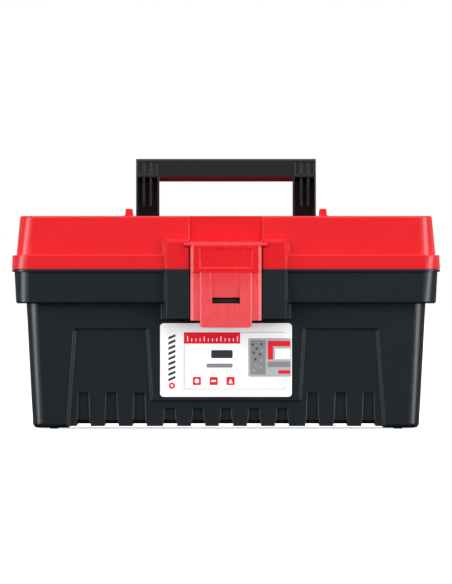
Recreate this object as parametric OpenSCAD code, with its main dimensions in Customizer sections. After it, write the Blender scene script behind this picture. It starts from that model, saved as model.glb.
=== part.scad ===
// A plastic toolbox: a drafted body with recessed panels, a hinged lid with two organisers
// and a fold-down carrying handle, a front latch, and a lift-out tray inside.
// Millimetres, +Z up. The origin is on the floor under the middle of the box, +X runs along
// the long side and the front with the latch faces -Y.

/* [Overall] */
// Width across the rims
rim_w = 360; // [330:1:435]
// Depth across the rims
rim_d = 180; // [165:1:218]
// Height of the rim where body and lid meet
body_h = 134.2; // [124:0.1:165]
// Height of the lid from that rim to its flat top
lid_h = 44.8; // [42:0.1:56]
// Corner radius of the rims in plan
corner_r = 14.5; // [10:0.5:20]

/* [Walls and clearances] */
// Wall thickness of the body and the lid
wall = 2.2; // [1.8:0.1:2.8]
// Gap between parts that move past each other
gap = 0.3; // [0.2:0.05:0.5]
// Radial running clearance of pins in bores
pin_play = 0.05; // [0.03:0.01:0.09]
// Side clearance of loose inserts in their slots
slot_play = 0.25; // [0.15:0.05:0.4]

/* [Body] */
// Height of the flange around the body's rim
flange_h = 2; // [1.5:0.1:3]
// How far the band under the flange stands in from the rim
band_in = 2.1; // [1:0.1:3]
// Height of the band, from the flange down to the step
band_h = 26.7; // [20:0.1:34]
// How far the step goes in under the band
step_in = 8.7; // [6:0.1:12]
// Draft of the walls, as a slope
draft = 0.05; // [0.02:0.005:0.07]
// Radius of the body's lower edge
base_r = 4; // [2:0.5:6]
// Width of each corner post at its foot
post_w = 30.5; // [24:0.5:38]
// How fast the corner posts widen with height
post_lean = 0.072; // [0.02:0.002:0.1]
// Depth of the recessed panels
panel_depth = 2.5; // [1.5:0.1:3.5]
// Distance of the panels' top edge below the step
panel_drop = 21.2; // [12:0.1:30]
// Half width of the raised field that carries the label, at its top
field_hw = 63; // [58:0.5:80]
// How fast the label field narrows downwards
field_lean = 0.084; // [0.02:0.002:0.1]
// Height of the field's lower edge
field_z = 23.6; // [18:0.1:40]
// Height of the body's underside between the runners
under_z = 4.3; // [4:0.1:8]
// Height of the runners' underside
runner_z = 2.2; // [1.5:0.1:3.5]
// Height of the foot pads
pad_h = 0.84; // [0.5:0.02:1.4]
// Distance between the windows in the panels
window_pitch = 23.6; // [20:0.1:28]
// How much further out the tall windows stand than their pitch gives
tall_shift = 2; // [0:0.1:4]
// Width of each window at its foot
window_w = 12; // [8:0.1:13]
// Depth of each window below its panel
window_depth = 2.4; // [1.5:0.1:3.5]
// Height of the tall windows' top edge
tall_window_z = 30.1; // [24:0.1:44]
// Height of the short windows' top edge, under the label field
short_window_z = 17; // [12:0.1:20]

/* [Lid] */
// Height of the lid's rim band
lid_rim_h = 11.8; // [9:0.1:15]
// How far the lid's crown stands in from the rim band
lid_step = 3.3; // [2:0.1:5]
// How far the lid's crown leans in over its height
lid_lean = 3; // [2:0.1:5]
// Radius of the crown's upper edge
crown_r = 1.6; // [1:0.1:3]
// Height of the two raised walls beside the handle
ridge_h = 6.1; // [4:0.1:8]
// Width of each raised wall at its foot
ridge_w = 5.8; // [4.5:0.1:7]
// Length of each raised wall
ridge_l = 150; // [110:1:156]
// Depth of the small-parts dish in the lid's top
dish_depth = 14; // [8:0.5:18]
// Length of the small-parts dish, front to back
dish_l = 40; // [30:1:46]
// Depth of the shallow channel above the latch
channel_depth = 1.2; // [0.6:0.1:1.8]

/* [Organisers] */
// Length of each organiser pocket, front to back
pocket_l = 143; // [110:1:146]
// Width of each organiser pocket
pocket_w = 62; // [50:0.5:64]
// Depth of each organiser pocket below its cover
pocket_depth = 23; // [16:0.5:25]
// Thickness of the covers
cover_t = 2; // [1.6:0.1:2.6]
// Width of the ledge that a cover rests on
cover_ledge = 3.2; // [2.4:0.1:4]
// Length of the thumb tab on a cover
tab_l = 37; // [24:1:50]
// Radius of the covers' stub pins
cover_pin_r = 1; // [0.8:0.05:1.2]

/* [Handle] */
// Outer width of the handle
handle_w = 152; // [130:1:156]
// Width of each handle leg
leg_w = 19.7; // [15:0.1:24]
// Height of the handle above its pivot
handle_h = 59.6; // [48:0.1:62]
// Handle thickness in front of its pivot
leg_front = 10; // [8:0.1:11]
// Handle thickness behind its pivot
leg_back = 4; // [3:0.1:5]
// Height of the grip bar
grip_h = 15.4; // [12:0.1:19]
// How much lower the grip's rear edge is than its front edge
grip_slope = 3.7; // [1:0.1:5]
// Height of the handle's pivot above the bay's floor
pivot_up = 6.5; // [6.4:0.1:7]
// Radius of the handle's pivot pins
pivot_r = 3; // [2.4:0.1:3.6]

/* [Latch] */
// Width of the latch
latch_w = 59.8; // [46:0.2:64]
// Length of the latch below its pivot
latch_l = 69.5; // [62:0.1:76]
// Thickness of the latch
latch_t = 4.5; // [3.6:0.1:5]
// Width of the raised tongue
tongue_w = 43.6; // [34:0.2:46]
// Width of the latch's side bevels
latch_bevel = 2.5; // [1.5:0.1:3]
// Radius of the latch's pivot pins
latch_pin_r = 1.8; // [1.4:0.1:2.1]
// How far the front boss stands out from the rim
boss_out = 3; // [2:0.1:4]
// Width of each cheek beside the latch
cheek_w = 20; // [16:0.5:26]

/* [Rear hinges] */
// Distance from the middle to the inner end of each hinge
hinge_x = 51; // [40:1:70]
// Length of each hinge
hinge_l = 82; // [60:1:96]
// Radius of the hinge knuckles
knuckle_r = 3; // [2.6:0.1:3.6]
// Radius of the hinge pins
hinge_pin_r = 1.25; // [1:0.05:1.5]

/* [Tray] */
// Height of the tray, from its underside to its rim
tray_h = 22; // [16:0.5:23]
// Wall thickness of the tray
tray_wall = 1.8; // [1.4:0.1:2.4]
// Thickness of the tray's outer rim
tray_rim_t = 2.4; // [1.8:0.1:3]
// Height of the tray's grip above its rim
grip_rise = 27; // [20:0.5:31]
// Length of the tray's grip
tray_grip_l = 110; // [90:1:130]
// Distance of the tray dividers from the middle
divider_x = 80; // [50:1:100]
// Thickness of the dividers
divider_t = 1.6; // [1.2:0.1:2.2]

/* [Label] */
// Width of the label
label_w = 110.8; // [90:0.2:112]
// Height of the label
label_h = 62; // [50:0.5:64]
// Thickness of the label
label_t = 0.3; // [0.2:0.05:0.5]

/* [Hidden] */

$fn = 48;
arc_steps = 5;
eps = 0.02;

red = [0.90, 0.17, 0.19];
charcoal = [0.17, 0.18, 0.20];
black = [0.13, 0.13, 0.14];
smoke = [0.35, 0.36, 0.38, 0.6];
steel = [0.65, 0.66, 0.68];
paper = [0.96, 0.96, 0.96];

// Levels of the body
band_top = body_h - flange_h;
step_z = band_top - band_h;
band_low_in = band_in + band_h * draft;
low_in = band_low_in + step_in;
base_in = low_in + (step_z - pad_h) * draft;
low_r = max(corner_r - 4.5, 4);
panel_top = step_z - panel_drop;
draft_a = atan(draft);
floor_z = under_z + wall;

// Corner radius of the panels, and how far a cut reaches out in front of its wall
panel_r = 2.5;
cut_reach = 4;
// Small bevel along the step under the band
step_bevel = 1.2;
// Slanted foot of each window: its height above the underside, and how far it goes in
window_foot_h = 3.2;
window_foot_in = 2.2;
// Foot pads: width, length, and how far they stand in from the foot of the walls
pad_w = 7.2;
pad_l = 18;
pad_in_x = 21.5;
pad_in_y = 6;

// Levels of the lid
seam = gap / 2;
top_z = body_h + lid_h;
crown_z = body_h + lid_rim_h;
ceiling_z = top_z - wall;
lip_h = 2;
lip_t = 1.2;
lip_in = wall + gap + 0.1;
// Draft of pockets in the lid, as a slope
pocket_draft = 0.02;

// Rear hinge line
hinge_out = 0.5;
axis_y = rim_d / 2 + knuckle_r + hinge_out;
axis_z = body_h;
knuckles = 5;
knuckle_pitch = hinge_l / knuckles;

// Front boss and latch: the latch's pivot line stands behind its face and above the rim
latch_axis_back = 3.3;
latch_axis_up = 20.4;
boss_over_axis = 4.8;
boss_below_step = 13;
boss_y = rim_d / 2 + boss_out;
latch_gap = 1.2;
latch_bay_w = latch_w + 2 * latch_gap;
latch_bay_y = rim_d / 2 - 1.3;
latch_front = axis_y + knuckle_r;
latch_head_r = 2.8;
latch_axis_y = -(latch_front - latch_axis_back);
latch_axis_z = body_h + latch_axis_up;
latch_back = latch_front - latch_t;
latch_pin_l = 4.6;
boss_top = latch_axis_z + boss_over_axis;
boss_bottom = step_z - boss_below_step;
boss_hw = latch_bay_w / 2 + cheek_w - 1;
boss_slope = 4.5;
boss_top_slope = 2.2;
boss_r = 4;

// Handle bay, with the pivot line of the handle
bay_depth = 17.5;
bay_side_gap = 2.5;
bay_front_gap = 3;
bay_rear_gap = 3.6;
bay_corner = 3;
bay_floor = top_z - bay_depth;
bay_hw = handle_w / 2 + bay_side_gap;
pivot_y = -5;
pivot_z = bay_floor + pivot_up;
bay_front = pivot_y - leg_front - bay_front_gap;
bay_rear = pivot_y + handle_h + bay_rear_gap;
pivot_l = 4.7;
pivot_boss_r = pivot_r + 2.4;
leg_bottom = 4;
leg_rim = 1.5;
leg_rib_w = 1.8;
leg_back_t = 2;

// Raised walls and small-parts dish
ridge_x = bay_hw + 0.5;
dish_gap = 12;
dish_y = bay_front - dish_gap - dish_l / 2;

// Organisers
cover_axis_gap = 4.2;
hinge_line_x = ridge_x + ridge_w + cover_axis_gap;
trough_hw = cover_t + 0.8;
pocket_x0 = hinge_line_x + trough_hw + 1;
pocket_cx = pocket_x0 + pocket_w / 2;
seat_depth = cover_t + gap + 0.4;
seat_z = top_z - seat_depth;
cover_z = seat_z + gap;
cover_axis_z = cover_z - 0.2;
barrel_r = cover_t / 2 + 0.5;
trough_z = cover_axis_z - barrel_r - 0.5;
seat_x1 = pocket_x0 + pocket_w + cover_ledge;
seat_hl = pocket_l / 2 + cover_ledge;
cover_pin_l = 3;
lug_l = cover_pin_l + 2.4;
tab_w = 5;
cover_play = 0.4;
// Frame around the sunk window of a cover, at its sides and at its ends
frame_side = 8;
frame_end = 12;
pocket_floor = seat_z - pocket_depth;
pocket_r = 8;
organiser_divider_y = pocket_l / 6;
organiser_divider_h = pocket_depth - 1.5;
guide_w = 1.2;
guide_reach = 2.4;

// Tray
tray_rest = step_z + wall + gap;
tray_top = tray_rest + tray_rim_t;
tray_bottom = tray_top - tray_h;
tray_out_in = low_in + wall + 1.2;
tray_rim_in = band_low_in + wall + 0.8;
tray_spine_t = 2.6;
tray_divider_h = tray_h - tray_wall - 3;
// The grip on the tray's middle wall: its sloping ends, finger border and thick top edge
grip_slant = 4;
grip_border = 14;
grip_bead_hw = 5;
grip_bead_h = 7;

// Label
label_drop = 16.7;

// ---- Shared shapes ----

// Points of a rounded rectangle centred on the origin, counter-clockwise.
function rounded(w, d, r, z) = [
    for (q = [0:3], k = [0:arc_steps])
        let (
            a = 90 * (q + k / arc_steps),
            cx = (q == 0 || q == 3 ? 1 : -1) * (w / 2 - r),
            cy = (q < 2 ? 1 : -1) * (d / 2 - r)
        ) [cx + r * cos(a), cy + r * sin(a), z]
];

// A closed solid through stacked outlines that have the same number of points.
module loft(rings) {
    n = len(rings[0]);
    m = len(rings);
    points = [for (ring = rings) each ring];
    bottom = [[for (i = [0:n - 1]) i]];
    top = [[for (i = [0:n - 1]) m * n - 1 - i]];
    sides = [
        for (k = [0:m - 2], i = [0:n - 1])
            let (
                a = k * n + i,
                b = k * n + (i + 1) % n,
                c = b + n,
                d = a + n
            ) each [[a, c, b], [a, d, c]]
    ];
    polyhedron(points = points, faces = concat(bottom, top, sides));
}

// One outline of the box: stood in from the rim by inset, at height z.
function ring(inset, z, r) = rounded(rim_w - 2 * inset, rim_d - 2 * inset, max(r, 0.8), z);

// A pocket with drafted sides, cut from z0 up to z1; g grows it by a wall.
module pocket(cx, cy, w, d, r, z0, z1, g = 0) {
    lean = (z1 - z0) * pocket_draft;
    translate([cx, cy, 0])
        loft([
            rounded(w - 2 * lean + 2 * g, d - 2 * lean + 2 * g, r + g, z0 - g),
            rounded(w + 2 * g, d + 2 * g, r + g, z1)
        ]);
}

// Both sides of the box.
module both_sides() {
    children();
    mirror([1, 0, 0]) children();
}

// A cylinder along X from x0 to x1 through (y, z).
module rod_x(x0, x1, y, z, r) {
    translate([x0, y, z]) rotate([0, 90, 0]) cylinder(h = x1 - x0, r = r);
}

// A cylinder along Y from y0 to y1 through (x, z).
module rod_y(y0, y1, x, z, r) {
    translate([x, y0, z]) rotate([-90, 0, 0]) cylinder(h = y1 - y0, r = r);
}

// A box given by its two corners.
module block(a, b) {
    translate(a) cube(b - a);
}

// ---- Body ----

// Moves a shape onto the body's front wall: X along the wall, Y up it from the step, Z out.
module on_front() {
    translate([0, -(rim_d / 2 - low_in), step_z]) rotate([90 + draft_a, 0, 0]) children();
}

module on_rear() {
    rotate([0, 0, 180]) on_front() children();
}

module on_side() {
    rotate([0, 0, 90]) translate([0, -(rim_w / 2 - low_in), step_z])
        rotate([90 + draft_a, 0, 0]) children();
}

// A four-sided outline with two rounded upper corners: lower half width, upper half width.
function panel_outline(hw0, hw1, y0, y1, r, z) = concat(
    [[-hw0, y0, z], [hw0, y0, z]],
    [for (k = [0:arc_steps]) let (a = 90 * k / arc_steps)
        [hw1 - r + r * cos(a), y1 - r + r * sin(a), z]],
    [for (k = [0:arc_steps]) let (a = 90 + 90 * k / arc_steps)
        [-hw1 + r + r * cos(a), y1 - r + r * sin(a), z]]
);

// A drafted panel cut: half width at the panel's foot, with g as the growth by a wall.
module panel_cut(foot_hw, g) {
    low = -step_z - 2;
    up = -panel_drop + g;
    top_hw = foot_hw - panel_top * post_lean;
    bevel = panel_depth + cut_reach;
    loft([
        panel_outline(foot_hw + g, top_hw + g, low, up, panel_r, -panel_depth - g),
        panel_outline(foot_hw + bevel + g, top_hw + bevel + g, low, up, panel_r, cut_reach)
    ]);
}

// The raised field in the middle of the front, as the part that the panel cut leaves out.
module label_field(g) {
    low = field_z - step_z;
    low_hw = field_hw - (panel_top - field_z) * field_lean - g;
    bevel = panel_depth + cut_reach;
    back = -panel_depth - g - 1;
    loft([
        panel_outline(low_hw + bevel, field_hw + bevel, low + g, cut_reach, panel_r, back),
        panel_outline(low_hw - 2, field_hw - g - 2, low + g, cut_reach, panel_r, cut_reach + 2)
    ]);
}

// One window, cut deeper into a panel from the box's underside up to window_top.
module window(x, window_top, g) {
    foot_hw = window_w / 2 + g;
    low = -step_z - 2;
    up = window_top - step_z + g;
    back = -panel_depth - window_depth - g;
    translate([x, 0, 0])
        loft([
            panel_outline(foot_hw - 0.5, foot_hw - 1.5, low, up, 1, back),
            panel_outline(foot_hw, foot_hw - 1, low, up, 1, cut_reach)
        ]);
}

// Windows repeat at an even pitch, reach across a panel, and stop short of the posts.
function window_xs(from, to, shift = 0) = [
    for (k = [-20:20]) let (x = k * window_pitch + sign(k) * shift)
        if (abs(x) >= from && abs(x) <= to) x
];

front_hw = rim_w / 2 - base_in - post_w;
side_hw = rim_d / 2 - base_in - post_w;
short_windows = window_xs(0, field_hw - window_w);
tall_windows = window_xs(field_hw, front_hw - window_w / 2 - 2, tall_shift);
rear_windows = concat(short_windows, tall_windows);
side_windows = window_xs(0, side_hw - window_w / 2 - 2);

// Everything that is cut into the walls from outside; g grows it by a wall for the cavity.
module wall_cuts(g) {
    on_front() difference() {
        panel_cut(front_hw, g);
        label_field(g);
    }
    on_front() {
        for (x = short_windows) window(x, short_window_z, g);
        for (x = tall_windows) window(x, tall_window_z, g);
    }
    on_rear() {
        panel_cut(front_hw, g);
        for (x = rear_windows) window(x, tall_window_z, g);
    }
    both_sides() on_side() {
        panel_cut(side_hw, g);
        for (x = side_windows) window(x, tall_window_z, g);
    }
}

// The underside: low corner feet, runners a little higher, and the flat bottom between them.
module under_cuts() {
    reach = rim_w;
    block([-front_hw, -reach, -1], [front_hw, reach, runner_z]);
    block([-reach, -side_hw, -1], [reach, side_hw, runner_z]);
    for (x = concat(short_windows, tall_windows))
        block([x - window_w / 2, -reach, -1], [x + window_w / 2, reach, under_z]);
    for (x = concat(short_windows, tall_windows)) {
        window_foot(x);
        rotate([0, 0, 180]) window_foot(x);
    }
}

// The slant that takes a window's floor in under the box.
module window_foot(x) {
    z1 = under_z + window_foot_h;
    face = -(rim_d / 2 - low_in) + (step_z - z1) * draft + panel_depth + window_depth;
    translate([x - window_w / 2, 0, 0]) rotate([90, 0, 90]) linear_extrude(window_w)
        polygon([
            [face - wall, under_z - 1], [face + window_foot_in, under_z - 1],
            [face + window_foot_in, under_z], [face, z1], [face - wall, z1]
        ]);
}

module body_outer() {
    lower_edge = [
        for (k = [0:4]) let (a = 90 * k / 4)
            ring(base_in + base_r * (1 - sin(a)), pad_h + base_r * (1 - cos(a)),
                low_r - base_r * (1 - sin(a)))
    ];
    loft(concat(lower_edge, [
        ring(low_in, step_z, low_r),
        ring(band_low_in + step_bevel, step_z, corner_r - 3),
        ring(band_low_in, step_z + step_bevel, corner_r - 2),
        ring(band_in, band_top, corner_r - 1.5),
        ring(0, band_top, corner_r),
        ring(0, body_h - seam, corner_r)
    ]));
}

module body_cavity() {
    foot_in = base_in + wall - (floor_z - pad_h) * draft;
    difference() {
        loft([
            ring(foot_in + 2, floor_z, low_r - 4),
            ring(foot_in, floor_z + 2, low_r - 2),
            ring(low_in + wall, step_z + wall, low_r - 2),
            ring(band_low_in + wall, step_z + wall, corner_r - 4),
            ring(band_in + wall, body_h + lip_h + 1, corner_r - 3)
        ]);
        wall_cuts(wall);
    }
}

// The standing lip inside the rim, which the lid closes around; it stops beside the latch bay.
module body_lip() {
    notch_hw = latch_bay_w / 2 + wall + 2 * gap;
    difference() {
        loft([
            ring(lip_in, band_top, corner_r - lip_in),
            ring(lip_in, body_h + lip_h, corner_r - lip_in)
        ]);
        loft([
            ring(lip_in + lip_t, band_top - 1, corner_r - lip_in - lip_t),
            ring(lip_in + lip_t, body_h + lip_h + 1, corner_r - lip_in - lip_t)
        ]);
        block([-notch_hw, -rim_d, body_h - seam], [notch_hw, 0, body_h + lip_h + 1]);
    }
}

// The boss under the latch, hollow from below: wide at the wall, narrower at its face.
module body_boss() {
    low_wall_y = rim_d / 2 - low_in;
    difference() {
        translate([0, 0, boss_bottom]) linear_extrude(body_h - seam - boss_bottom)
            polygon([
                [-boss_hw, -boss_y], [boss_hw, -boss_y],
                [boss_hw + boss_slope, -low_wall_y + 1], [-boss_hw - boss_slope, -low_wall_y + 1]
            ]);
        both_sides() block(
            [latch_bay_w / 2 + wall, -boss_y + wall, boss_bottom - 1],
            [boss_hw - wall, -low_wall_y, step_z - wall]
        );
        block(
            [-latch_bay_w / 2, -latch_bay_y + wall, boss_bottom - 1],
            [latch_bay_w / 2, -low_wall_y, step_z - wall]
        );
    }
}

// The bay that the latch lies in, over the height from z0 to z1.
module latch_bay(z0, z1) {
    block([-latch_bay_w / 2, -boss_y - 5, z0], [latch_bay_w / 2, -latch_bay_y, z1]);
}

// The lug that the latch closes over, with its face just behind the latch's slot.
module catch_lug() {
    translate([-slot_hw + 1.5, 0, 0]) rotate([90, 0, 90]) linear_extrude(2 * slot_hw - 3)
        polygon([
            [-latch_bay_y + 1, slot_z0 + 0.5],
            [-latch_back + gap, slot_z0 + 0.9],
            [-latch_back + gap, slot_z1 - 1.6],
            [-latch_bay_y + 1, slot_z1 + 1.4]
        ]);
}

// One hinge knuckle on the rear hinge line, from x0 to x1; up is 1 for the lid, -1 for the body.
module knuckle(x0, x1, up) {
    rod_x(x0, x1, axis_y, axis_z, knuckle_r);
    z0 = up > 0 ? axis_z + seam : axis_z - knuckle_r;
    z1 = up > 0 ? axis_z + knuckle_r : axis_z - seam;
    block([x0, rim_d / 2 - wall, z0], [x1, axis_y, z1]);
}

module knuckles_of(first, up) {
    both_sides() for (k = [first:2:knuckles - 1])
        let (x0 = hinge_x + k * knuckle_pitch)
            knuckle(x0 + gap / 2, x0 + knuckle_pitch - gap / 2, up);
}

module hinge_bores() {
    both_sides() rod_x(hinge_x - 1, hinge_x + hinge_l + 1, axis_y, axis_z, hinge_pin_r + pin_play);
}

module foot_pads() {
    x = rim_w / 2 - base_in - pad_in_x;
    y = rim_d / 2 - base_in - pad_in_y;
    both_sides() for (y0 = [-y, y - pad_l])
        block([x, y0, 0], [x + pad_w, y0 + pad_l, pad_h + 0.5]);
}

module body() {
    color(charcoal) difference() {
        union() {
            difference() {
                union() {
                    body_outer();
                    body_boss();
                    body_lip();
                    knuckles_of(1, -1);
                }
                wall_cuts(0);
                under_cuts();
                latch_bay(boss_bottom - 1, body_h + 5);
            }
            foot_pads();
            catch_lug();
        }
        body_cavity();
        hinge_bores();
    }
}

module label() {
    color(paper) on_front()
        translate([-label_w / 2, -label_drop - label_h, eps]) cube([label_w, label_h, label_t]);
}

module hinge_pin() {
    rod_x(hinge_x + 0.5, hinge_x + hinge_l - 0.5, axis_y, axis_z, hinge_pin_r);
}

module hinge_pin_left() {
    color(steel) mirror([1, 0, 0]) hinge_pin();
}

module hinge_pin_right() {
    color(steel) hinge_pin();
}

// ---- Lid ----

crown_in = 0.5 + lid_step;
crown_top_in = crown_in + lid_lean;

module lid_outer() {
    top_edge = [
        for (k = [0:3]) let (a = 90 * k / 3)
            ring(crown_top_in + crown_r * (1 - cos(a)), top_z - crown_r * (1 - sin(a)),
                corner_r - 2.5 - crown_r * (1 - cos(a)))
    ];
    loft(concat([
        ring(0, body_h + seam, corner_r),
        ring(0.5, crown_z, corner_r - 0.5),
        ring(crown_in, crown_z, corner_r - 1.5)
    ], top_edge));
}

module lid_inner() {
    loft([
        ring(wall, body_h - 1, corner_r - wall),
        ring(wall + 0.4, crown_z - wall, corner_r - wall),
        ring(crown_in + wall, crown_z - wall, corner_r - 3),
        ring(crown_top_in + wall, ceiling_z, corner_r - 4)
    ]);
}

// The hollows in the lid's top and front; g grows them by a wall for the cavity.
module lid_recesses(g) {
    up = top_z + 1;
    bay_l = bay_rear - bay_front;
    pocket(0, bay_front + bay_l / 2, 2 * bay_hw, bay_l, bay_corner, bay_floor, up, g);
    pocket(0, dish_y, 2 * bay_hw, dish_l, 6, top_z - dish_depth, up, g);
    both_sides() {
        trough_x = hinge_line_x - trough_hw;
        pocket(pocket_cx, 0, pocket_w, pocket_l, pocket_r, pocket_floor, up, g);
        pocket((trough_x + seat_x1) / 2, 0, seat_x1 - trough_x, 2 * seat_hl, 1.5, seat_z, up, g);
        pocket(hinge_line_x, 0, 2 * trough_hw, 2 * seat_hl, 0.8, trough_z, up, g);
        pocket(seat_x1 + tab_w / 2, 0, tab_w + 8, tab_l + 2, 4, seat_z - 2.5, up, g);
    }
    translate([0, 0, boss_top - 1])
        block([-latch_bay_w / 2 - g, -rim_d, 0],
            [latch_bay_w / 2 + g, -(rim_d / 2 - crown_top_in - channel_depth) + g, lid_h]);
}

// Raised walls beside the handle, narrower at the top.
module ridges() {
    foot = ridge_w / 2;
    crest = ridge_w / 2 - 0.4;
    both_sides() translate([ridge_x + foot, ridge_l / 2, 0]) rotate([90, 0, 0])
        linear_extrude(ridge_l)
            polygon([
                [-foot - 1.2, top_z - 1], [foot + 1.2, top_z - 1], [foot + 1.2, top_z],
                [foot, top_z + 1], [crest, top_z + ridge_h], [-crest, top_z + ridge_h],
                [-foot, top_z + 1], [-foot - 1.2, top_z]
            ]);
}

// The lid's share of the boss, which also slopes at its top.
module lid_boss() {
    crown_y = rim_d / 2 - crown_top_in - 1;
    wide_hw = boss_hw + boss_slope;
    low = body_h + seam;
    difference() {
        rotate([90, 0, 0]) loft([
            panel_outline(wide_hw, wide_hw, low, boss_top, boss_r, crown_y),
            panel_outline(boss_hw, boss_hw, low, boss_top - boss_top_slope, boss_r, boss_y)
        ]);
        both_sides() block(
            [latch_bay_w / 2 + latch_pin_l + 3, -boss_y + wall, body_h - 1],
            [boss_hw - wall, -crown_y, boss_top - boss_top_slope - wall]
        );
    }
}

// The wall behind the latch, which the latch bay would otherwise cut through.
module bay_backing() {
    block([-latch_bay_w / 2 - wall, -latch_bay_y, body_h + seam],
        [latch_bay_w / 2 + wall, -latch_bay_y + wall, boss_top - boss_top_slope]);
}

module pivot_bosses() {
    both_sides() rod_x(bay_hw - 1, bay_hw + pivot_l + 1.5, pivot_y, pivot_z, pivot_boss_r);
}

module cover_lugs() {
    lug_hw = cover_pin_r + 1.8;
    both_sides() for (side = [-1, 1])
        translate([hinge_line_x, side * (seat_hl + lug_l / 2), cover_axis_z])
            translate([-lug_hw, -lug_l / 2, -lug_hw])
                cube([2 * lug_hw, lug_l, top_z - cover_axis_z + lug_hw]);
}

// Rib pairs that hold the organiser dividers.
module organiser_guides() {
    offset_y = divider_t / 2 + slot_play + guide_w / 2;
    both_sides() for (y = [-organiser_divider_y, organiser_divider_y], side = [-1, 1], end = [0, 1])
        block(
            [(end == 0 ? pocket_x0 - 0.5 : pocket_x0 + pocket_w - guide_reach),
                y + side * offset_y - guide_w / 2, pocket_floor - 0.5],
            [(end == 0 ? pocket_x0 + guide_reach : pocket_x0 + pocket_w + 0.5),
                y + side * offset_y + guide_w / 2, seat_z - 1]
        );
}

module lid() {
    color(red) difference() {
        union() {
            difference() {
                union() {
                    difference() {
                        union() {
                            lid_outer();
                            lid_boss();
                        }
                        difference() {
                            lid_inner();
                            lid_recesses(wall);
                        }
                    }
                    bay_backing();
                    pivot_bosses();
                    cover_lugs();
                    ridges();
                }
                lid_recesses(0);
                latch_bay(body_h - 1, top_z);
            }
            knuckles_of(0, 1);
            organiser_guides();
        }
        hinge_bores();
        rod_x(-bay_hw - pivot_l, bay_hw + pivot_l, pivot_y, pivot_z, pivot_r + pin_play);
        rod_x(-latch_bay_w / 2 - latch_pin_l, latch_bay_w / 2 + latch_pin_l,
            latch_axis_y, latch_axis_z, latch_pin_r + pin_play);
        both_sides() rod_y(-seat_hl - cover_pin_l, seat_hl + cover_pin_l,
            hinge_line_x, cover_axis_z, cover_pin_r + pin_play);
    }
}

// ---- Latch ----

// Heights on the latch: foot of its flanges, step across its face, and its slot
tongue_reach = 5.9;
head_l = 22.9;
slot_in = 10.1;
slot_up = 20.3;
slot_h = 5;
flange_drop = 1.2;
// The sunk plate on the latch's head: its margins above and below, and its depth
plate_low = 3.6;
plate_high = 3.3;
plate_depth = 0.8;
// How deep the dip for the thumb goes at the slot, and how much it widens above it
dip_depth = 2.2;
dip_widen = 1.6;
latch_foot = latch_axis_z - latch_l;
flange_foot = latch_foot + tongue_reach;
step_line = latch_axis_z - head_l;
slot_hw = tongue_w / 2 - slot_in;
slot_z0 = latch_foot + slot_up;
slot_z1 = slot_z0 + slot_h;

// Plan of a latch plate, with its front at y and bevelled side edges.
module latch_plan(hw, y, bevel) {
    polygon([
        [-hw, -latch_back], [-hw, -y + bevel * 0.7], [-hw + bevel, -y],
        [hw - bevel, -y], [hw, -y + bevel * 0.7], [hw, -latch_back]
    ]);
}

module latch_tongue() {
    intersection() {
        translate([0, 0, latch_foot]) linear_extrude(step_line - latch_foot + 1)
            latch_plan(tongue_w / 2, latch_front, 1);
        rotate([90, 0, 0]) linear_extrude(rim_d)
            polygon([
                for (p = panel_outline(tongue_w / 2, tongue_w / 2, 0, latch_l, panel_r, 0))
                    [p[0], latch_axis_z - p[1]]
            ]);
    }
}

module latch() {
    color(red) difference() {
        union() {
            translate([0, 0, step_line]) linear_extrude(latch_axis_z - step_line)
                latch_plan(latch_w / 2, latch_front, latch_bevel);
            translate([0, 0, flange_foot]) linear_extrude(step_line - flange_foot)
                latch_plan(latch_w / 2, latch_front - flange_drop, latch_bevel);
            latch_tongue();
            rod_x(-latch_w / 2, latch_w / 2, latch_axis_y, latch_axis_z, latch_head_r);
            rod_x(-latch_w / 2 - latch_gap - latch_pin_l + gap,
                latch_w / 2 + latch_gap + latch_pin_l - gap,
                latch_axis_y, latch_axis_z, latch_pin_r);
        }
        block([-tongue_w / 2, -latch_front - 1, step_line + plate_low],
            [tongue_w / 2, -latch_front + plate_depth, latch_axis_z - plate_high]);
        block([-slot_hw, -latch_front - 1, slot_z0], [slot_hw, -latch_back + 1, slot_z1]);
        thumb_dip();
    }
}

// The sloping dip for the thumb, deepest at the slot.
module thumb_dip() {
    intersection() {
        translate([-latch_w / 2, 0, 0]) rotate([90, 0, 90]) linear_extrude(latch_w)
            polygon([
                [-latch_front - 1, step_line + 0.6], [-latch_front, step_line + 0.6],
                [-latch_front + dip_depth, slot_z1 - 1], [-latch_front - 1, slot_z1 - 1]
            ]);
        rotate([90, 0, 0]) linear_extrude(rim_d)
            polygon([
                [-slot_hw, slot_z1 - 2], [slot_hw, slot_z1 - 2],
                [slot_hw + dip_widen, step_line + 1], [-slot_hw - dip_widen, step_line + 1]
            ]);
    }
}

// ---- Handle ----

handle_top = pivot_z + handle_h;
grip_z = handle_top - grip_h;
leg_x0 = handle_w / 2 - leg_w;
channel_z0 = pivot_z + 8;
rib_z0 = pivot_z + 19.3;
// Middle of each rib in a leg, measured in from the leg's outer side
rib_x = [6.6, 12.5];

module handle_leg() {
    hw = handle_w / 2;
    front = pivot_y - leg_front;
    difference() {
        block([leg_x0, front, pivot_z - leg_bottom], [hw, pivot_y + leg_back, grip_z + 2]);
        block([leg_x0 + leg_rim, front - 1, channel_z0],
            [hw - leg_rim, pivot_y + leg_back - leg_back_t, grip_z]);
    }
    for (x = rib_x)
        block([hw - x - leg_rib_w / 2, front + 1, rib_z0],
            [hw - x + leg_rib_w / 2, pivot_y + leg_back - 1, grip_z + 1]);
    rod_x(hw - 1, hw + bay_side_gap + pivot_l - gap, pivot_y, pivot_z, pivot_r);
}

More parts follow.
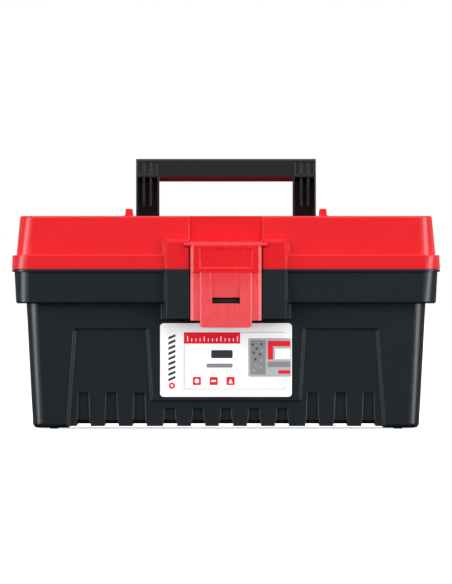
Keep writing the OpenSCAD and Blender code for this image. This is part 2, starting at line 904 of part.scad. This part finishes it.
// The grip: a bar whose underside slopes down to the rear.
module grip() {
    front = pivot_y - leg_front;
    rear = pivot_y + leg_back;
    round_r = 1.2;
    difference() {
        translate([-handle_w / 2, 0, 0]) rotate([90, 0, 90]) linear_extrude(handle_w)
            polygon([
                [front, grip_z], [rear - 2, grip_z - grip_slope],
                [rear, grip_z - grip_slope + 1.5], [rear, handle_top - round_r],
                [rear - round_r, handle_top], [front + round_r, handle_top],
                [front, handle_top - round_r]
            ]);
        both_sides() for (x = [leg_rim, rib_x[0] + leg_rib_w / 2, rib_x[1] + leg_rib_w / 2])
            groove(handle_w / 2 - x, front);
    }
}

// A shallow groove that carries a leg's channel up over the grip's face.
module groove(x1, front) {
    groove_w = rib_x[0] - leg_rib_w / 2 - leg_rim;
    block([x1 - groove_w, front - 1, grip_z - 1], [x1, front + 0.5, handle_top - 3]);
}

module handle() {
    color(black) {
        both_sides() handle_leg();
        grip();
    }
}

// ---- Organiser covers and dividers ----

module organiser_cover() {
    x1 = seat_x1 - cover_play;
    hl = seat_hl - cover_play;
    hw = (x1 - hinge_line_x) / 2;
    difference() {
        union() {
            translate([hinge_line_x + hw, 0, cover_z]) linear_extrude(cover_t)
                polygon([for (p = rounded(2 * hw, 2 * hl, 1.2, 0)) [p[0], p[1]]]);
            block([x1 - 2, -tab_l / 2, cover_z], [x1 + tab_w, tab_l / 2, cover_z + cover_t]);
            rod_y(-hl, hl, hinge_line_x, cover_axis_z, barrel_r);
            rod_y(-seat_hl - cover_pin_l + gap, seat_hl + cover_pin_l - gap,
                hinge_line_x, cover_axis_z, cover_pin_r);
        }
        block([pocket_x0 + frame_side, -hl + frame_end, cover_z + cover_t - 0.5],
            [x1 - frame_side, hl - frame_end, top_z + 1]);
    }
}

module organiser_cover_left() {
    color(smoke) mirror([1, 0, 0]) organiser_cover();
}

module organiser_cover_right() {
    color(smoke) organiser_cover();
}

module organiser_divider(y) {
    shrink = (top_z + 1 - pocket_floor) * pocket_draft + slot_play;
    color(black) block(
        [pocket_x0 + shrink, y - divider_t / 2, pocket_floor],
        [pocket_x0 + pocket_w - shrink, y + divider_t / 2, pocket_floor + organiser_divider_h]
    );
}

module organiser_divider_left_front() {
    mirror([1, 0, 0]) organiser_divider(-organiser_divider_y);
}

module organiser_divider_left_rear() {
    mirror([1, 0, 0]) organiser_divider(organiser_divider_y);
}

module organiser_divider_right_front() {
    organiser_divider(-organiser_divider_y);
}

module organiser_divider_right_rear() {
    organiser_divider(organiser_divider_y);
}

// ---- Tray ----

tray_foot_in = tray_out_in + (tray_top - tray_bottom) * draft;
tray_floor = tray_bottom + tray_wall;
tray_row_y0 = tray_spine_t / 2;
tray_row_y1 = rim_d / 2 - tray_foot_in - tray_wall;

// The middle wall, which rises to a grip with a finger opening.
module tray_spine() {
    hw = rim_w / 2 - tray_out_in - 1;
    foot_hw = tray_grip_l / 2 + grip_border;
    top_hw = tray_grip_l / 2 - grip_slant;
    opening_hw = tray_grip_l / 2 - grip_border;
    grip_top = tray_top + grip_rise;
    translate([0, tray_spine_t / 2, 0]) rotate([90, 0, 0]) linear_extrude(tray_spine_t)
        difference() {
            polygon([
                [-hw, tray_floor - 1], [hw, tray_floor - 1], [hw, tray_top],
                [foot_hw, tray_top], [top_hw, grip_top],
                [-top_hw, grip_top], [-foot_hw, tray_top], [-hw, tray_top]
            ]);
            translate([-opening_hw, tray_top - 4]) square([2 * opening_hw, grip_rise - 3]);
        }
    translate([-top_hw, 0, 0]) rotate([90, 0, 90]) linear_extrude(2 * top_hw)
        polygon([
            [-grip_bead_hw, grip_top - grip_bead_h], [grip_bead_hw, grip_top - grip_bead_h],
            [grip_bead_hw, grip_top - 1], [grip_bead_hw - 1, grip_top],
            [-grip_bead_hw + 1, grip_top], [-grip_bead_hw, grip_top - 1]
        ]);
}

module tray_guides() {
    offset_x = divider_t / 2 + slot_play + guide_w / 2;
    for (sx = [-1, 1], sy = [-1, 1], side = [-1, 1], end = [0, 1])
        let (
            x = sx * divider_x + side * offset_x,
            a = end == 0 ? tray_row_y0 - 0.5 : tray_row_y1 - guide_reach,
            b = end == 0 ? tray_row_y0 + guide_reach : tray_row_y1 + 1.5
        ) block(
            [x - guide_w / 2, min(sy * a, sy * b), tray_floor - 0.5],
            [x + guide_w / 2, max(sy * a, sy * b), tray_top - tray_rim_t]
        );
}

module tray() {
    color(black) {
        difference() {
            loft([
                ring(tray_foot_in + 2, tray_bottom, low_r - 4),
                ring(tray_foot_in, tray_bottom + 2, low_r - 2),
                ring(tray_out_in, tray_rest, low_r - 1),
                ring(tray_rim_in, tray_rest, corner_r - 5),
                ring(tray_rim_in, tray_top, corner_r - 5)
            ]);
            loft([
                ring(tray_foot_in + tray_wall + 1, tray_floor, low_r - 5),
                ring(tray_foot_in + tray_wall, tray_floor + 1, low_r - 4),
                ring(tray_out_in + tray_wall, tray_top + 1, low_r - 3)
            ]);
        }
        tray_spine();
        tray_guides();
    }
}

module tray_divider(sx, sy) {
    y0 = tray_row_y0 + slot_play;
    y1 = tray_row_y1 - 1 - slot_play;
    x = sx * divider_x;
    color(black) block(
        [x - divider_t / 2, min(sy * y0, sy * y1), tray_floor],
        [x + divider_t / 2, max(sy * y0, sy * y1), tray_floor + tray_divider_h]
    );
}

module tray_divider_front_left() {
    tray_divider(-1, -1);
}

module tray_divider_front_right() {
    tray_divider(1, -1);
}

module tray_divider_rear_left() {
    tray_divider(-1, 1);
}

module tray_divider_rear_right() {
    tray_divider(1, 1);
}

body();
label();
hinge_pin_left();
hinge_pin_right();
lid();
latch();
handle();
organiser_cover_left();
organiser_cover_right();
organiser_divider_left_front();
organiser_divider_left_rear();
organiser_divider_right_front();
organiser_divider_right_rear();
tray();
tray_divider_front_left();
tray_divider_front_right();
tray_divider_rear_left();
tray_divider_rear_right();
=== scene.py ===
import math

import bmesh
import bpy
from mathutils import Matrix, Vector
from mathutils.kdtree import KDTree


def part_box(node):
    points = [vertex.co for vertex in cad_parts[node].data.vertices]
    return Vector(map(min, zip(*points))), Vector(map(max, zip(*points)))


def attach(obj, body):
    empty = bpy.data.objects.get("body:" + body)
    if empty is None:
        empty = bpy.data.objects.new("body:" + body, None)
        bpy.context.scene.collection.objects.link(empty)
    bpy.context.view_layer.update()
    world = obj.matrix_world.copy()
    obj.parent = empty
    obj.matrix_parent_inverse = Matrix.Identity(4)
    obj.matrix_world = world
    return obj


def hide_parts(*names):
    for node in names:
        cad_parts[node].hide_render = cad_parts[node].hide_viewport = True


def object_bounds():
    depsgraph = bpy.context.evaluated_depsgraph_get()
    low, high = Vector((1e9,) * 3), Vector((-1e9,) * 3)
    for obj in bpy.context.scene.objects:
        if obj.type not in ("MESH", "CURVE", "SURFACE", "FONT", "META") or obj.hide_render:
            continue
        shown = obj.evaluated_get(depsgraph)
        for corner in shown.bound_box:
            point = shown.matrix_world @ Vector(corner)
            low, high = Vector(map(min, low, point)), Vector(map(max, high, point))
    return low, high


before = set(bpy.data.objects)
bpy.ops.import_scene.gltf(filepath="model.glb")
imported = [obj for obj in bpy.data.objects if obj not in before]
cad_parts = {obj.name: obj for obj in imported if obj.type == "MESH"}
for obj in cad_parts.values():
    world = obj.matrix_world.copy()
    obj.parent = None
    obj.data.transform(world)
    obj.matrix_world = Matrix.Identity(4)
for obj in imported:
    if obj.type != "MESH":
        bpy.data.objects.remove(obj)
CAD_BOX = [list(corner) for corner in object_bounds()]

MM = 0.001
SCENE = bpy.context.scene
LOW, HIGH = (Vector(corner) for corner in CAD_BOX)

# Edges of the CAD parts: the angle that counts as sharp, and when two points are the same
SHARP = math.radians(30)
SAME_POINT = 0.000002
EDGE_RADIUS = 0.0007

# Heights at which the latch and the handle change to a painted second tint: painted sheen on the
# latch's lower plate, painted shade on the handle's legs
LATCH_PLATE_TOP = 0.1314
HANDLE_GRIP_FOOT = 0.2115

# The label, in millimetres: its thickness, its height, and how far each layer stands out
LABEL_T = 0.3
LABEL_TALL = 62.0
LABEL_LEAN = math.atan(0.05)
SHEET_TOP = 0.25
INK_TOP = 0.27
INK_OVER = INK_TOP + 0.005
MARK_TOP = 0.29

# The studio: how strongly the surroundings shine in front, at the sides and from above
WORLD_DIM = 0.12
WORLD_SIDE = 0.3
WORLD_TOP = 0.35
LIGHT_DISTANCE = 2.2
FLOOR_SIZE = 60

# The camera: rows and scale of a 584 pixel high picture
IMAGE_H = 584
MM_PER_PIXEL = 0.843
FLOOR_ROW = 428.5
CAMERA_DISTANCE = 12.0
FRONT_PLANE = 0.05
SENSOR = 36.0


# ---- Materials ----


def linear(red, green, blue):
    """An sRGB colour, given as 0 to 255, as linear RGBA."""

    def channel(value):
        value /= 255
        return value / 12.92 if value <= 0.04045 else ((value + 0.055) / 1.055) ** 2.4

    return (channel(red), channel(green), channel(blue), 1.0)


class Shader:
    """A node material that is built up step by step around one Principled shader."""

    def __init__(self, name, roughness, specular=0.5):
        self.material = bpy.data.materials.new(name)
        self.material.use_nodes = True
        self.tree = self.material.node_tree
        self.principled = self.tree.nodes["Principled BSDF"]
        self.principled.inputs["Roughness"].default_value = roughness
        self.principled.inputs["Specular IOR Level"].default_value = specular
        self.place = self.add("ShaderNodeTexCoord").outputs["Object"]

    def add(self, kind, **settings):
        node = self.tree.nodes.new(kind)
        for key, value in settings.items():
            setattr(node, key, value)
        return node

    def link(self, source, target):
        self.tree.links.new(source, target)

    def noise(self, size, detail=3.0, stretch=(1, 1, 1)):
        """Noise with features of about that size in metres."""
        mapping = self.add("ShaderNodeMapping")
        mapping.inputs["Scale"].default_value = stretch
        self.link(self.place, mapping.inputs["Vector"])
        node = self.add("ShaderNodeTexNoise")
        node.inputs["Scale"].default_value = 1 / size
        node.inputs["Detail"].default_value = detail
        self.link(mapping.outputs["Vector"], node.inputs["Vector"])
        return node.outputs["Fac"]

    def ramp(self, source, stops):
        node = self.add("ShaderNodeValToRGB")
        ramp = node.color_ramp
        while len(ramp.elements) < len(stops):
            ramp.elements.new(0.5)
        for element, (position, colour) in zip(ramp.elements, stops):
            element.position = position
            element.color = colour
        self.link(source, node.inputs["Fac"])
        return node.outputs["Color"]

    def span(self, source, low, high, to_low, to_high):
        """Maps a value's range onto another one."""
        node = self.add("ShaderNodeMapRange")
        for key, value in zip(
            ("From Min", "From Max", "To Min", "To Max"), (low, high, to_low, to_high)
        ):
            node.inputs[key].default_value = value
        self.link(source, node.inputs["Value"])
        return node.outputs["Result"]

    def mix(self, share, first, second):
        """Blends two colours; each is an output or a fixed RGBA."""
        node = self.add("ShaderNodeMix", data_type="RGBA")
        self.link(share, node.inputs["Factor"])
        for value, socket in ((first, node.inputs[6]), (second, node.inputs[7])):
            if isinstance(value, tuple):
                socket.default_value = value
            else:
                self.link(value, socket)
        return node.outputs[2]

    def bump(self, height, distance, strength=1.0, under=None):
        node = self.add("ShaderNodeBump")
        node.inputs["Distance"].default_value = distance
        node.inputs["Strength"].default_value = strength
        self.link(height, node.inputs["Height"])
        if under is not None:
            self.link(under, node.inputs["Normal"])
        return node.outputs["Normal"]

    def drive(self, source, socket):
        self.link(source, self.principled.inputs[socket])


def tinted(colour, factor):
    """A lighter or darker version of a linear colour."""
    return tuple(min(1, channel * factor) for channel in colour[:3]) + (1.0,)


def rounding(shader, width):
    """A normal that is rounded over edges, and a mask of paler edges: chafed spots and a painted
    highlight along them.
    """
    bevel = shader.add("ShaderNodeBevel", samples=6)
    bevel.inputs["Radius"].default_value = width
    flat = shader.add("ShaderNodeNewGeometry").outputs["Normal"]
    dot = shader.add("ShaderNodeVectorMath", operation="DOT_PRODUCT")
    shader.link(bevel.outputs["Normal"], dot.inputs[0])
    shader.link(flat, dot.inputs[1])
    edge = shader.span(dot.outputs["Value"], 0.99, 0.8, 0, 1)
    # Every edge keeps at least a third of the edge colour, an even painted highlight; the noise
    # above that is chafed wear.
    wear_and_highlight_spots = shader.span(shader.noise(0.003, 5), 0.4, 0.62, 0.35, 0.95)
    both = shader.add("ShaderNodeMath", operation="MULTIPLY")
    shader.link(edge, both.inputs[0])
    shader.link(wear_and_highlight_spots, both.inputs[1])
    return bevel.outputs["Normal"], both.outputs["Value"]


def moulded(name, colour, roughness, wear_and_highlight, grain=0.0004, depth=0.000012, painted_light_below=None):
    """Injection-moulded plastic: fine grain, faint flow mottle, scuffs, and paler edges that are
    chafed wear and painted highlight together.

    The edge colour is the paler colour of the edges: chafed wear and a painted highlight together.
    The last argument, when given, is a second colour, the height under which it starts, and the
    distance over which it comes in fully; that tint is light and shade painted into the colour.
    """
    shader = Shader(name, roughness)
    flow = shader.noise(0.04, 4, (1, 1, 2.2))
    colours = shader.ramp(flow, [(0.3, tinted(colour, 0.97)), (0.7, tinted(colour, 1.03))])
    if painted_light_below is not None:
        # Under the given height the part gets a second tint: light and shade painted into its
        # colour.
        painted_tint, height, fade = painted_light_below
        split = shader.add("ShaderNodeSeparateXYZ")
        shader.link(shader.place, split.inputs["Vector"])
        painted_share = shader.add("ShaderNodeMath", operation="ADD")
        # Half of the change is a step at that height, the other half fades in
        for socket, reach in zip(painted_share.inputs, (0.0006, fade)):
            part = shader.span(split.outputs["Z"], height, height - reach, 0, 0.5)
            shader.link(part, socket)
        painted_tints = shader.ramp(
            flow, [(0.3, tinted(painted_tint, 0.98)), (0.7, tinted(painted_tint, 1.02))]
        )
        colours = shader.mix(painted_share.outputs["Value"], colours, painted_tints)
    # Edges are mixed toward the edge colour: chafed wear, and a painted highlight that every edge
    # gets.
    normal, edge_wear_and_highlight = rounding(shader, EDGE_RADIUS)
    colours = shader.mix(edge_wear_and_highlight, colours, wear_and_highlight)
    shader.drive(colours, "Base Color")
    scuffs = shader.noise(0.006, 6, (1, 1, 0.35))
    shader.drive(shader.span(scuffs, 0.42, 0.78, roughness, roughness + 0.05), "Roughness")
    fine = shader.bump(shader.noise(grain, 2), depth, under=normal)
    shader.drive(shader.bump(shader.noise(0.035, 2), 0.0002, 0.1, fine), "Normal")
    return shader.material


def smoke_clear(name):
    """Clear smoke polystyrene: tinted, glossy, with a faint ripple."""
    shader = Shader(name, 0.08)
    base = shader.principled.inputs
    base["Transmission Weight"].default_value = 1.0
    base["IOR"].default_value = 1.5
    colours = shader.ramp(
        shader.noise(0.05), [(0.3, (0.34, 0.36, 0.39, 1)), (0.7, (0.40, 0.42, 0.45, 1))]
    )
    shader.drive(colours, "Base Color")
    shader.drive(shader.span(shader.noise(0.008, 5), 0.4, 0.75, 0.06, 0.16), "Roughness")
    shader.drive(shader.bump(shader.noise(0.02, 2), 0.0002, 0.15), "Normal")
    return shader.material


def drawn_steel(name):
    """Zinc-plated wire with fine drawing lines along it."""
    shader = Shader(name, 0.3)
    shader.principled.inputs["Metallic"].default_value = 1.0
    lines = shader.noise(0.0004, 3, (0.02, 1, 1))
    colours = shader.ramp(lines, [(0.3, (0.48, 0.49, 0.51, 1)), (0.7, (0.62, 0.63, 0.65, 1))])
    shader.drive(colours, "Base Color")
    shader.drive(shader.span(lines, 0.3, 0.7, 0.22, 0.4), "Roughness")
    shader.drive(shader.bump(lines, 0.00002), "Normal")
    return shader.material


def printed(name, colour, roughness=0.32, painted_glow=0.0):
    """Coated label stock or ink on it: faint paper tooth and tone, and a glow that is painted
    light.
    """
    shader = Shader(name, roughness)
    # The emission is painted light: the label shines a little by itself to stay bright.
    shader.principled.inputs["Emission Color"].default_value = colour
    shader.principled.inputs["Emission Strength"].default_value = painted_glow
    colours = shader.ramp(
        shader.noise(0.004, 4), [(0.35, tinted(colour, 0.965)), (0.65, tinted(colour, 1.0))]
    )
    shader.drive(colours, "Base Color")
    sheen = shader.span(shader.noise(0.01), 0.4, 0.7, roughness, roughness + 0.1)
    shader.drive(sheen, "Roughness")
    shader.drive(shader.bump(shader.noise(0.0005, 3), 0.000012), "Normal")
    return shader.material


# The fourth argument of each moulded plastic is its edge colour: chafed wear and a painted
# highlight together.
RED = moulded("lid_red", linear(233, 28, 36), 0.3, linear(250, 70, 76))
LATCH_RED = moulded(
    "latch_red",
    linear(240, 30, 38),
    0.26,
    linear(250, 120, 124),
    # Under the plate's top the latch is painted paler: a painted sheen, not a second plastic.
    painted_light_below=(linear(244, 84, 90), LATCH_PLATE_TOP, 0.016),
)
CHARCOAL = moulded("body_charcoal", linear(29, 35, 40), 0.33, linear(54, 60, 65))
BLACK = moulded(
    "handle_black",
    linear(24, 27, 32),
    0.38,
    linear(50, 52, 57),
    # Under the grip's foot the handle's legs are painted near black: painted shade.
    painted_light_below=(linear(8, 6, 8), HANDLE_GRIP_FOOT, 0.006),
)
TRAY_BLACK = moulded("tray_black", linear(28, 29, 32), 0.4, linear(52, 53, 56))
INSERT_BLACK = moulded("insert_black", linear(34, 35, 38), 0.4, linear(56, 57, 60))
SMOKE = smoke_clear("cover_smoke")
STEEL = drawn_steel("pin_steel")
# The paper and the red ink glow a little: painted light that keeps them bright.
PAPER = printed("label_white", linear(250, 250, 251), painted_glow=0.27)
INK_RED = printed("label_red", linear(232, 28, 48), painted_glow=0.2)
INK_DARK = printed("label_dark", linear(58, 62, 66))
INK_GREY = printed("label_grey", linear(150, 153, 157))
INK_PALE = printed("label_pale", linear(196, 199, 202))

NODE_MATERIAL = {
    "body": CHARCOAL,
    "lid": RED,
    "latch": LATCH_RED,
    "handle": BLACK,
    "tray": TRAY_BLACK,
    "hinge_pin_left": STEEL,
    "hinge_pin_right": STEEL,
    "organiser_cover_left": SMOKE,
    "organiser_cover_right": SMOKE,
    "label": PAPER,
}

# ---- The CAD parts: smooth arcs and finish ----


def mark_sharp(mesh):
    """Marks the edges where faces meet sharply; the import keeps every flat face separate."""
    build = bmesh.new()
    build.from_mesh(mesh)
    bmesh.ops.remove_doubles(build, verts=build.verts, dist=SAME_POINT)
    joined = KDTree(len(build.verts))
    build.verts.index_update()
    for vert in build.verts:
        joined.insert(vert.co, vert.index)
    joined.balance()
    sharp = {
        frozenset(vert.index for vert in edge.verts)
        for edge in build.edges
        if len(edge.link_faces) != 2 or edge.calc_face_angle() > SHARP
    }
    build.free()
    place = [joined.find(vertex.co)[1] for vertex in mesh.vertices]
    flags = [frozenset(place[end] for end in edge.vertices) in sharp for edge in mesh.edges]
    marks = mesh.attributes.get("sharp_edge") or mesh.attributes.new(
        "sharp_edge", "BOOLEAN", "EDGE"
    )
    marks.data.foreach_set("value", flags)


for name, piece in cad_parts.items():
    piece.data.materials.clear()
    piece.data.materials.append(NODE_MATERIAL.get(name, INSERT_BLACK))
    for face in piece.data.polygons:
        face.use_smooth = True
    mark_sharp(piece.data)
    weld = piece.modifiers.new("weld", "WELD")
    weld.merge_threshold = SAME_POINT
    normals = piece.modifiers.new("normals", "WEIGHTED_NORMAL")
    normals.keep_sharp = True


# ---- The label: coated paper with printed shapes ----

LABEL_LOW, LABEL_HIGH = (Vector(corner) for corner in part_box("label"))
LABEL_TOP = Vector(
    (
        (LABEL_LOW.x + LABEL_HIGH.x) / 2,
        LABEL_LOW.y,
        LABEL_HIGH.z - LABEL_T * MM * math.sin(LABEL_LEAN),
    )
)
LABEL_DOWN = Vector((0, math.sin(LABEL_LEAN), -math.cos(LABEL_LEAN)))
LABEL_OUT = Vector((0, -math.cos(LABEL_LEAN), -math.sin(LABEL_LEAN)))


def on_label(across, down, height):
    """A point on the label: millimetres from its middle, from its top edge, above the wall."""
    return (
        LABEL_TOP
        + Vector((across * MM, 0, 0))
        + LABEL_DOWN * down * MM
        + LABEL_OUT * (height - LABEL_T) * MM
    )


def rounded_outline(x0, x1, y0, y1, radius, steps=6):
    """A rounded rectangle's outline, with y going down the label."""
    outline = []
    corners = ((x1 - radius, y0 + radius, -90), (x1 - radius, y1 - radius, 0))
    corners += ((x0 + radius, y1 - radius, 90), (x0 + radius, y0 + radius, 180))
    for x, y, start in corners:
        for k in range(steps + 1):
            angle = math.radians(start + 90 * k / steps)
            outline.append((x + radius * math.cos(angle), y + radius * math.sin(angle)))
    return outline


def disc(x, y, radius, steps=20):
    """A circle's outline."""
    turn = 2 * math.pi / steps
    angles = [k * turn for k in range(steps)]
    return [(x + radius * math.cos(angle), y + radius * math.sin(angle)) for angle in angles]


def slab(build, outline, low, high, ink):
    """A thin plate with that outline, from one height above the wall to another."""
    top = [build.verts.new(on_label(x, y, high)) for x, y in outline]
    under = [build.verts.new(on_label(x, y, low)) for x, y in outline]
    faces = [build.faces.new(top), build.faces.new(list(reversed(under)))]
    for k in range(len(outline)):
        after = (k + 1) % len(outline)
        faces.append(build.faces.new((top[k], under[k], under[after], top[after])))
    for face in faces:
        face.material_index = ink


def label():
    """The sticker: a sheet with printed shapes that stand a hair proud of it."""
    inks = [PAPER, INK_RED, INK_DARK, INK_GREY, INK_PALE]
    white, red, dark, grey, pale = range(len(inks))
    build = bmesh.new()
    half = (LABEL_HIGH.x - LABEL_LOW.x) / 2 / MM

    def ink(outline, colour, top=INK_TOP):
        slab(build, outline, SHEET_TOP - 0.01, top, colour)

    def bar(x0, x1, y0, y1, colour, top=INK_TOP, radius=0.0):
        outline = [(x0, y0), (x1, y0), (x1, y1), (x0, y1)]
        ink(rounded_outline(x0, x1, y0, y1, radius, 3) if radius else outline, colour, top)

    slab(build, rounded_outline(-half, half, 0, LABEL_TALL, 3), 0.02, SHEET_TOP, white)
    # A slanted stripe pattern up the left side, over a red dot
    for k in range(9):
        y = 9 + 4.4 * k
        ink([(-48.5, y + 2.6), (-42.5, y), (-42.5, y + 2.2), (-48.5, y + 4.8)], dark)
    ink(disc(-45.5, 52.6, 2.7), red)
    ink(disc(-45.5, 52.6, 1.2), white, MARK_TOP)
    # The red bar with a scale on it
    bar(-35.5, 12, 7.6, 17.2, red)
    for k in range(13):
        long = 4.2 if k % 4 == 0 else 2.4
        x = -32.6 + 3.5 * k
        bar(x, x + 0.6, 15.2 - long, 15.2, white, MARK_TOP)
    # A thin frame line
    bar(-35.5, -35.0, 17.2, 55.6, grey)
    bar(-35.5, 49.5, 55.2, 55.6, grey)
    bar(12, 49.5, 7.6, 8.0, grey)
    bar(49.1, 49.5, 52.0, 55.6, grey)
    # Two title strokes and three squares with simple marks
    bar(-12.5, 5.6, 22.6, 29.4, dark, radius=1.2)
    bar(-16.5, 5.6, 34.0, 37.4, grey, radius=0.9)
    for x in (-28.0, -13.8, 0.4):
        bar(x, x + 6.9, 45.2, 52.1, red, radius=0.8)
    ink(disc(-24.55, 48.65, 1.9), white, MARK_TOP)
    bar(-12.3, -8.4, 47.9, 49.4, white, MARK_TOP)
    ink([(2.0, 50.6), (3.85, 46.6), (5.7, 50.6)], white, MARK_TOP)
    # A box seen from above, with its compartments
    bar(18.6, 54.6, 12.4, 45.2, pale, radius=1.5)
    bar(20.4, 33.4, 14.2, 43.4, grey, INK_OVER, 1)
    for x, y in ((22.6, 18), (25.8, 21.4), (29.8, 17.6), (23.4, 25), (28.6, 26.2), (24.6, 30.4)):
        ink(disc(x, y, 1.0, 10), dark, MARK_TOP)
    for x, y in ((29.6, 31), (25.4, 35.4), (29.4, 37.2), (23.6, 39.6), (30.6, 23)):
        ink(disc(x, y, 0.8, 10), pale, MARK_TOP)
    bar(35.2, 54.0, 14.8, 19.4, red, INK_OVER)
    bar(35.2, 39.6, 19.4, 30.6, red, INK_OVER)
    bar(41.4, 54.0, 21.4, 30.2, white, INK_OVER)
    bar(35.2, 54.0, 32.2, 37.0, grey, INK_OVER)
    bar(44.0, 54.0, 39.6, 42.6, red, INK_OVER)

    mesh = bpy.data.meshes.new("label_sheet")
    build.normal_update()
    bmesh.ops.recalc_face_normals(build, faces=build.faces)
    build.to_mesh(mesh)
    build.free()
    sheet = bpy.data.objects.new("label_sheet", mesh)
    SCENE.collection.objects.link(sheet)
    for material in inks:
        mesh.materials.append(material)
    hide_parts("label")
    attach(sheet, "box")


label()

# ---- Floor, light and camera ----


def floor():
    """A pale floor that catches the box's shadow and stays as bright as the backdrop far out."""
    mesh = bpy.data.meshes.new("floor")
    build = bmesh.new()
    bmesh.ops.create_grid(build, x_segments=8, y_segments=8, size=FLOOR_SIZE)
    build.to_mesh(mesh)
    build.free()
    obj = bpy.data.objects.new("floor", mesh)
    obj.location.z = LOW.z
    obj.visible_diffuse = False
    obj.visible_glossy = False
    SCENE.collection.objects.link(obj)
    shader = Shader("floor_white", 0.9, 0.05)
    paint = [(0.3, (0.9, 0.9, 0.9, 1)), (0.7, (0.92, 0.92, 0.92, 1))]
    shader.drive(shader.ramp(shader.noise(0.5), paint), "Base Color")
    spread = shader.add("ShaderNodeVectorMath", operation="LENGTH")
    shader.link(shader.place, spread.inputs[0])
    far = shader.span(spread.outputs["Value"], 0.2, 1.2, 0.55, 1)
    shader.principled.inputs["Emission Color"].default_value = (1, 1, 1, 1)
    shader.drive(far, "Emission Strength")
    mesh.materials.append(shader.material)


def softbox(name, azimuth, elevation, distance, width, height, power, mirrored=True):
    """A rectangular light aimed at the middle of the box; azimuth 0 is in front of it.

    One that is not mirrored lights the box without showing in its sheen.
    """
    data = bpy.data.lights.new(name, "AREA")
    data.shape = "RECTANGLE"
    data.size = width
    data.size_y = height
    data.energy = power
    a, e = math.radians(azimuth), math.radians(elevation)
    centre = (LOW + HIGH) / 2
    back = Vector((math.sin(a) * math.cos(e), -math.cos(a) * math.cos(e), math.sin(e)))
    obj = bpy.data.objects.new(name, data)
    obj.location = centre + back * distance
    obj.rotation_mode = "QUATERNION"
    obj.rotation_quaternion = back.to_track_quat("Z", "Y")
    obj.visible_camera = False
    obj.visible_glossy = mirrored
    SCENE.collection.objects.link(obj)
    return obj


def studio_world():
    """A white backdrop to the eye, whose light comes from the sides and from above."""
    world = bpy.data.worlds.new("studio")
    world.use_nodes = True
    tree = world.node_tree
    add, link = tree.nodes.new, tree.links.new
    shine = tree.nodes["Background"]
    place = add("ShaderNodeTexCoord")
    split = add("ShaderNodeSeparateXYZ")
    link(place.outputs["Generated"], split.inputs["Vector"])
    side = add("ShaderNodeMath")
    side.operation = "ABSOLUTE"
    link(split.outputs["X"], side.inputs[0])
    levels = []
    for source, stops in (
        (side.outputs["Value"], (0.45, 0.85, WORLD_DIM, WORLD_SIDE)),
        (split.outputs["Z"], (0.35, 0.9, 0, WORLD_TOP)),
        (split.outputs["Z"], (-0.25, 0.02, 0.06, 1)),
    ):
        span = add("ShaderNodeMapRange")
        for key, value in zip(("From Min", "From Max", "To Min", "To Max"), stops):
            span.inputs[key].default_value = value
        link(source, span.inputs["Value"])
        levels.append(span.outputs["Result"])
    total = add("ShaderNodeMath")
    total.operation = "ADD"
    link(levels[0], total.inputs[0])
    link(levels[1], total.inputs[1])
    above = add("ShaderNodeMath")
    above.operation = "MULTIPLY"
    link(total.outputs["Value"], above.inputs[0])
    link(levels[2], above.inputs[1])
    link(above.outputs["Value"], shine.inputs["Strength"])
    backdrop = add("ShaderNodeBackground")
    backdrop.inputs["Strength"].default_value = 1.0
    backdrop.inputs["Color"].default_value = (1, 1, 1, 1)
    shine.inputs["Color"].default_value = (1, 1, 1, 1)
    path = add("ShaderNodeLightPath")
    pick = add("ShaderNodeMixShader")
    link(path.outputs["Is Camera Ray"], pick.inputs["Fac"])
    link(shine.outputs["Background"], pick.inputs[1])
    link(backdrop.outputs["Background"], pick.inputs[2])
    link(pick.outputs["Shader"], tree.nodes["World Output"].inputs["Surface"])
    SCENE.world = world


def lights():
    """The same boxes in front and behind; the front ones alone show in the sheen.

    The clear covers leave out the side boxes, which would glare in them from behind.
    """
    covers = bpy.data.collections.new("unlit_by_side_boxes")
    for name in ("organiser_cover_left", "organiser_cover_right"):
        covers.objects.link(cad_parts[name])
    for item in covers.collection_objects:
        item.light_linking.link_state = "EXCLUDE"
    for back in (0, 180):
        front = back == 0
        for side in (-1, 1):
            place = f"{back}_{side}"
            softbox(f"strip_{place}", back + 26 * side, 2, LIGHT_DISTANCE, 0.12, 1.6, 3.2, front)
            box = softbox(f"side_{place}", back + 56 * side, 4, LIGHT_DISTANCE, 1.1, 1.6, 37, front)
            box.light_linking.receiver_collection = covers
        softbox(f"high_{back}", back, 46, LIGHT_DISTANCE, 1.8, 1.2, 14, front)
    softbox("top", 0, 90, 2.0, 1.4, 1.0, 5)


def camera():
    """A level camera far in front; FRONT_PLANE is where its scale is MM_PER_PIXEL."""
    data = bpy.data.cameras.new("camera")
    view_height = IMAGE_H * MM_PER_PIXEL * MM
    data.sensor_width = SENSOR
    data.lens = SENSOR * (CAMERA_DISTANCE - FRONT_PLANE) / view_height
    data.clip_end = 100
    obj = bpy.data.objects.new("camera", data)
    middle_z = LOW.z + (FLOOR_ROW - IMAGE_H / 2) * MM_PER_PIXEL * MM
    obj.location = (0, -CAMERA_DISTANCE, middle_z)
    obj.rotation_euler = (math.radians(90), 0, 0)
    SCENE.collection.objects.link(obj)
    SCENE.camera = obj


floor()
studio_world()
lights()
camera()
SCENE.view_settings.view_transform = "Standard"
